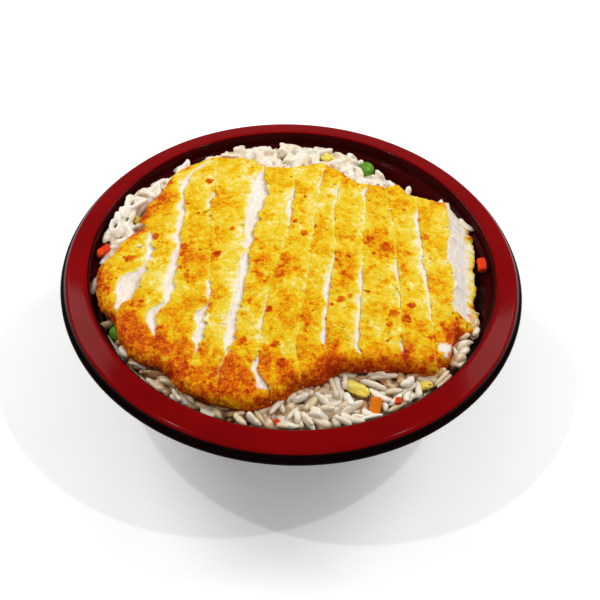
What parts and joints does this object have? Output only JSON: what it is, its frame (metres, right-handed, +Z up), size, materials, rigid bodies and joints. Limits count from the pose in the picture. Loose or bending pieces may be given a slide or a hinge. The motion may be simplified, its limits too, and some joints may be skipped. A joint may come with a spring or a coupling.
{
  "type": "bowl of crispy chicken rice",
  "caption": "Round plastic takeaway bowl with a wide sloping rim, filled with cooked rice and topped with a crumbed chicken cutlet cut into strips, with bits of pea, carrot and egg.",
  "frame": {"origin": "centre of the foot ring, on the surface the bowl stands on", "axes": "+Z up out of the bowl, +X towards the cutlet's right end, +Y away from the viewer"},
  "size_m": [0.1866, 0.1866, 0.0708],
  "materials": {
    "bowl_plastic": "glossy deep red moulded plastic",
    "crumbed_chicken": "rough golden fried crumbs over white meat",
    "cooked_rice": "moist, slightly see-through white grains",
    "green_pea": "moist smooth skin",
    "cooked_carrot": "moist cut faces",
    "cooked_egg": "soft moist scraps"
  },
  "bodies": {
    "root": {"bowl": "bowl_plastic", "chicken_strip_01": "crumbed_chicken", "chicken_strip_02": "crumbed_chicken", "chicken_strip_03": "crumbed_chicken", "chicken_strip_04": "crumbed_chicken", "chicken_strip_05": "crumbed_chicken", "chicken_strip_06": "crumbed_chicken", "chicken_strip_07": "crumbed_chicken", "chicken_strip_08": "crumbed_chicken", "chicken_strip_09": "crumbed_chicken", "chicken_strip_10": "crumbed_chicken", "chicken_strip_11": "crumbed_chicken", "pea_1": "green_pea", "pea_2": "green_pea", "carrot_1": "cooked_carrot", "carrot_2": "cooked_carrot", "carrot_3": "cooked_carrot", "carrot_4": "cooked_carrot", "carrot_5": "cooked_carrot", "carrot_6": "cooked_carrot", "egg_1": "cooked_egg", "egg_2": "cooked_egg", "egg_3": "cooked_egg", "egg_4": "cooked_egg", "rice": "cooked_rice"}
  },
  "joints": []
}
